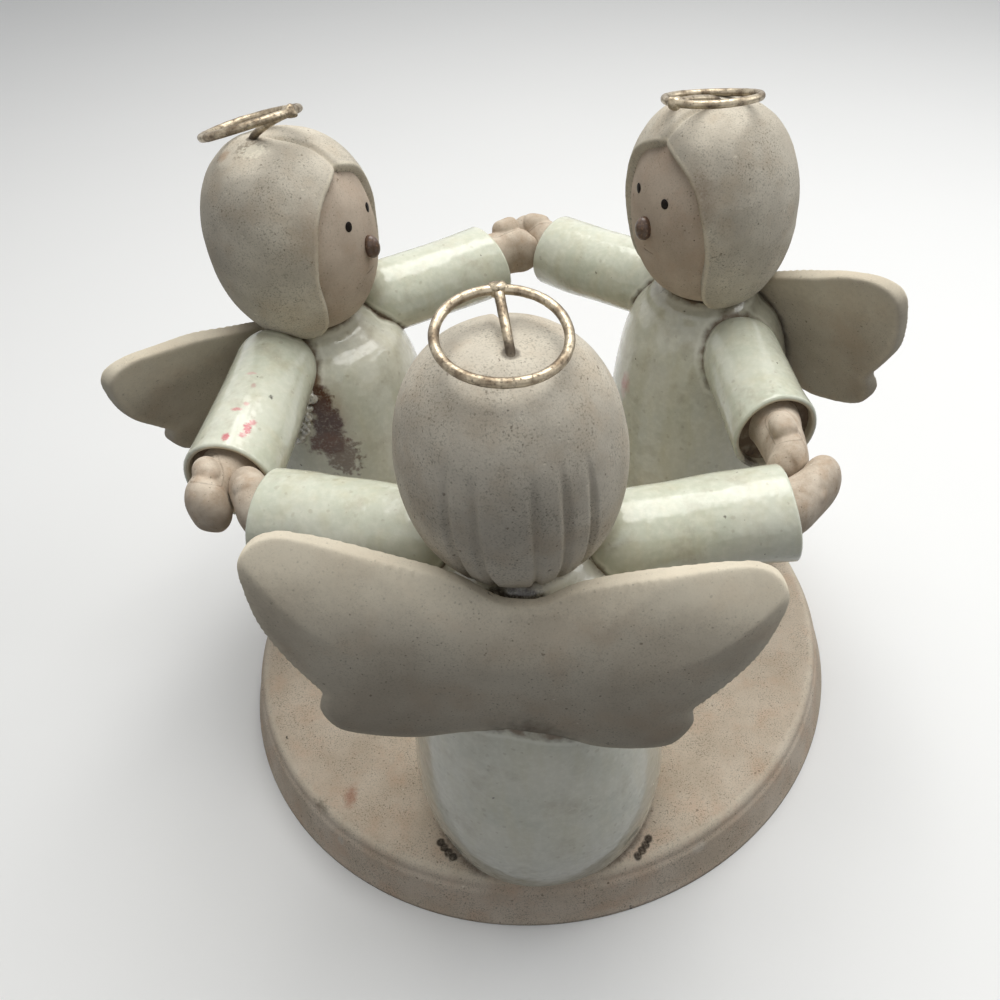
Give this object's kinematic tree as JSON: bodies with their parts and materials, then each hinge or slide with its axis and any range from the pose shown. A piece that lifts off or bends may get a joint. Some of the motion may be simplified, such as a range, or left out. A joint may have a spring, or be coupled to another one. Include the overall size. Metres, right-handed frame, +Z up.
{
  "type": "tealight holder",
  "caption": "Glazed stoneware tealight holder: angels with clay wings and wire halos stand in a ring on a round base, hands joined round the tealight.",
  "frame": {"origin": "middle of the base's flat underside", "axes": "+Z up, the front angel stands towards -Y and faces the middle"},
  "size_m": [0.1544, 0.14, 0.1323],
  "materials": {
    "base_clay": "unglazed buff stoneware with fine iron speckles, matt",
    "glazed_dress": "glossy pale celadon cream glaze over stoneware",
    "glazed_sleeve": "glossy pale celadon cream glaze over stoneware",
    "wing_clay": "unglazed greyish brown stoneware, smooth matt",
    "face_clay": "unglazed pinkish buff stoneware, matt",
    "hair_clay": "unglazed buff stoneware with fine iron speckles, matt",
    "nose_bead": "dark brown, shiny",
    "halo_wire": "dull antique wire, lightly polished",
    "hand_clay": "unglazed pinkish buff stoneware, matt"
  },
  "bodies": {
    "root": {"base": "base_clay", "front_dress": "glazed_dress", "front_wings": "wing_clay", "front_head": "face_clay", "front_hair": "hair_clay", "front_nose": "nose_bead", "front_halo": "halo_wire", "front_right_sleeve": "glazed_sleeve", "front_left_sleeve": "glazed_sleeve", "front_right_hand": "hand_clay", "front_left_hand": "hand_clay", "left_dress": "glazed_dress", "left_wings": "wing_clay", "left_head": "face_clay", "left_hair": "hair_clay", "left_nose": "nose_bead", "left_halo": "halo_wire", "left_right_sleeve": "glazed_sleeve", "left_left_sleeve": "glazed_sleeve", "left_right_hand": "hand_clay", "left_left_hand": "hand_clay", "right_dress": "glazed_dress", "right_wings": "wing_clay", "right_head": "face_clay", "right_hair": "hair_clay", "right_nose": "nose_bead", "right_halo": "halo_wire", "right_right_sleeve": "glazed_sleeve", "right_left_sleeve": "glazed_sleeve", "right_right_hand": "hand_clay", "right_left_hand": "hand_clay"}
  },
  "joints": []
}
